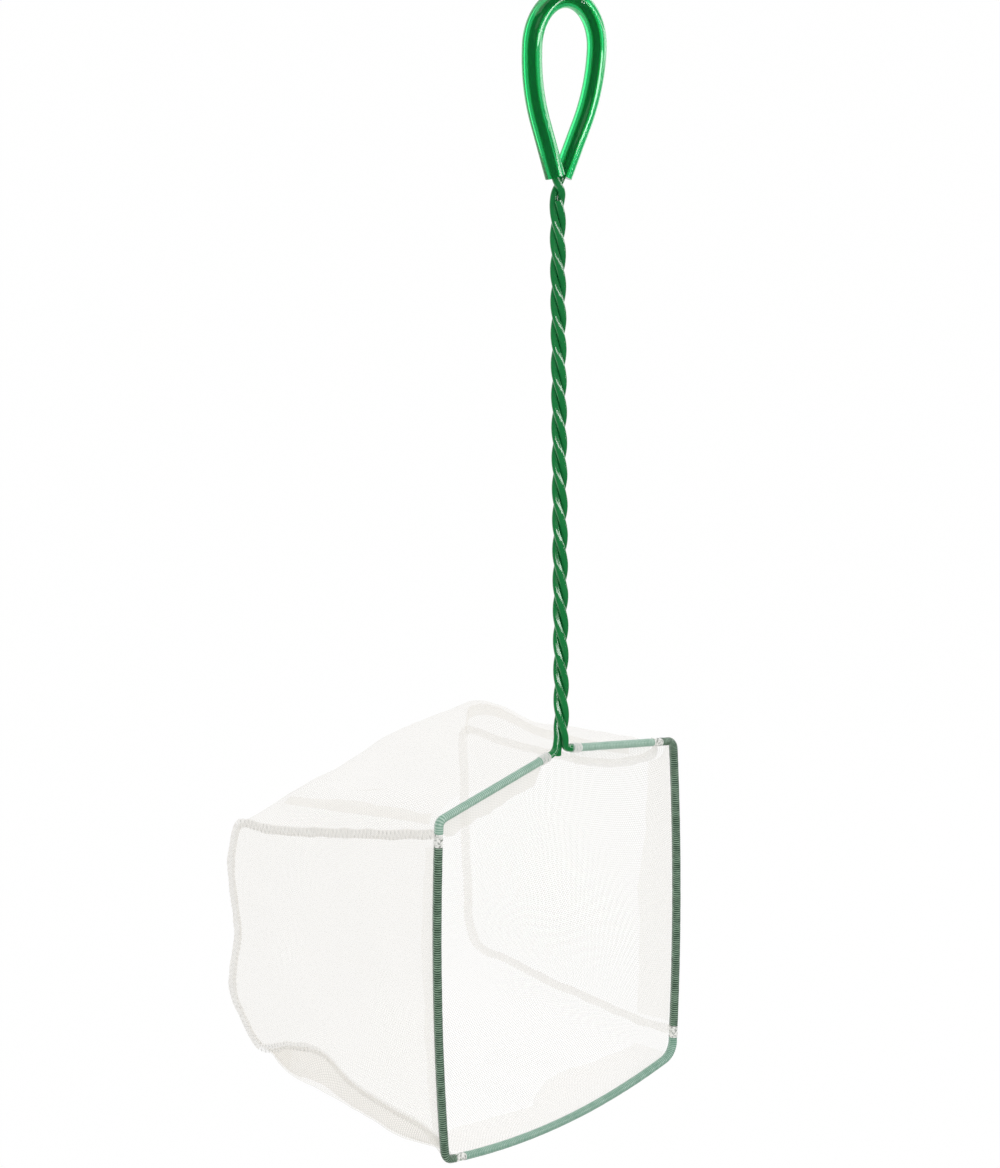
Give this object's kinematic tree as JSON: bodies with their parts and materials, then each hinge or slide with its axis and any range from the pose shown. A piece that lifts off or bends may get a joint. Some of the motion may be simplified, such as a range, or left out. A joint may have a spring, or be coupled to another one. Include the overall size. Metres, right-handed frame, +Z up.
{
  "type": "aquarium fish net",
  "caption": "Hand-held aquarium fish net: coated wire twisted into a stem, with a tubed hanging loop on top and a square hoop below that carries a sewn mesh bag.",
  "frame": {"origin": "the hang point: the inside of the loop's crown, on the stem's axis", "axes": "+Z up the stem, +X to the right across the hoop, +Y back into the bag; the mouth faces -Y"},
  "size_m": [0.135, 0.111, 0.4157],
  "materials": {
    "steel_core": "galvanised",
    "vinyl_coat": "glossy green vinyl coat",
    "clear_vinyl": "translucent green vinyl tube",
    "hem_mesh": "white mesh drawn tight over the green wire",
    "bag_mesh": "sheer white knitted mesh",
    "thread": "white overlocked mesh and thread"
  },
  "bodies": {
    "frame": {"wire_core": "steel_core", "tail_strand_coat": "vinyl_coat", "loop_coat": "vinyl_coat", "left_strand_coat": "vinyl_coat", "hoop_coat": "vinyl_coat", "right_strand_coat": "vinyl_coat", "grip_tube": "clear_vinyl", "hem_top_left": "hem_mesh", "hem_left": "hem_mesh", "hem_bottom": "hem_mesh", "hem_right": "hem_mesh", "hem_top_right": "hem_mesh", "seam_end_top_left": "thread", "seam_end_bottom_left": "thread", "seam_end_bottom_right": "thread", "seam_end_top_right": "thread", "neck_binding_left": "thread", "neck_binding_right": "thread", "top_panel": "bag_mesh", "bottom_panel": "bag_mesh", "left_gusset": "bag_mesh", "right_gusset": "bag_mesh", "left_top_seam": "thread", "left_bottom_seam": "thread", "right_top_seam": "thread", "right_bottom_seam": "thread"},
    "bag_end": {"back_panel": "bag_mesh", "rear_left_seam": "thread", "rear_right_seam": "thread"}
  },
  "joints": [
    {"name": "bag_fold", "type": "slide", "parent": "frame", "child": "bag_end", "axis": [0, -1, 0], "range_m": [0, 0.085], "deforming": ["top_panel", "bottom_panel", "left_gusset", "right_gusset", "left_top_seam", "left_bottom_seam", "right_top_seam", "right_bottom_seam"]}
  ]
}
